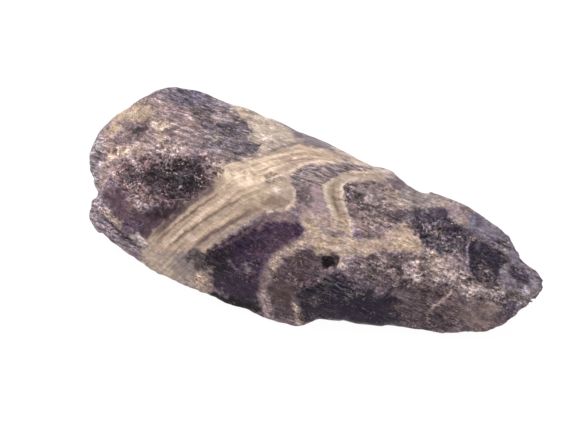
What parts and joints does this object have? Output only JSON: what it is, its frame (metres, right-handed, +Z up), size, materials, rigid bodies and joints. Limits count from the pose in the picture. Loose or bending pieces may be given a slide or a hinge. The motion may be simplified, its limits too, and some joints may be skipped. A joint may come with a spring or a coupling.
{
  "type": "rough amethyst",
  "caption": "Rough broken piece of banded chevron amethyst, blunt at one end and tapering to a stepped point at the other, with cream bands across deep purple and grey stone.",
  "frame": {"origin": "on the surface it rests on, under the middle of its box", "axes": "+X along the stone towards its pointed end, +Z up, the banded side that shows looks towards -Y and up"},
  "size_m": [0.1034, 0.0398, 0.0285],
  "materials": {
    "amethyst": "broken quartz, cloudy, banded cream and deep purple, dull to glassy"
  },
  "bodies": {
    "root": {"amethyst": "amethyst"}
  },
  "joints": []
}
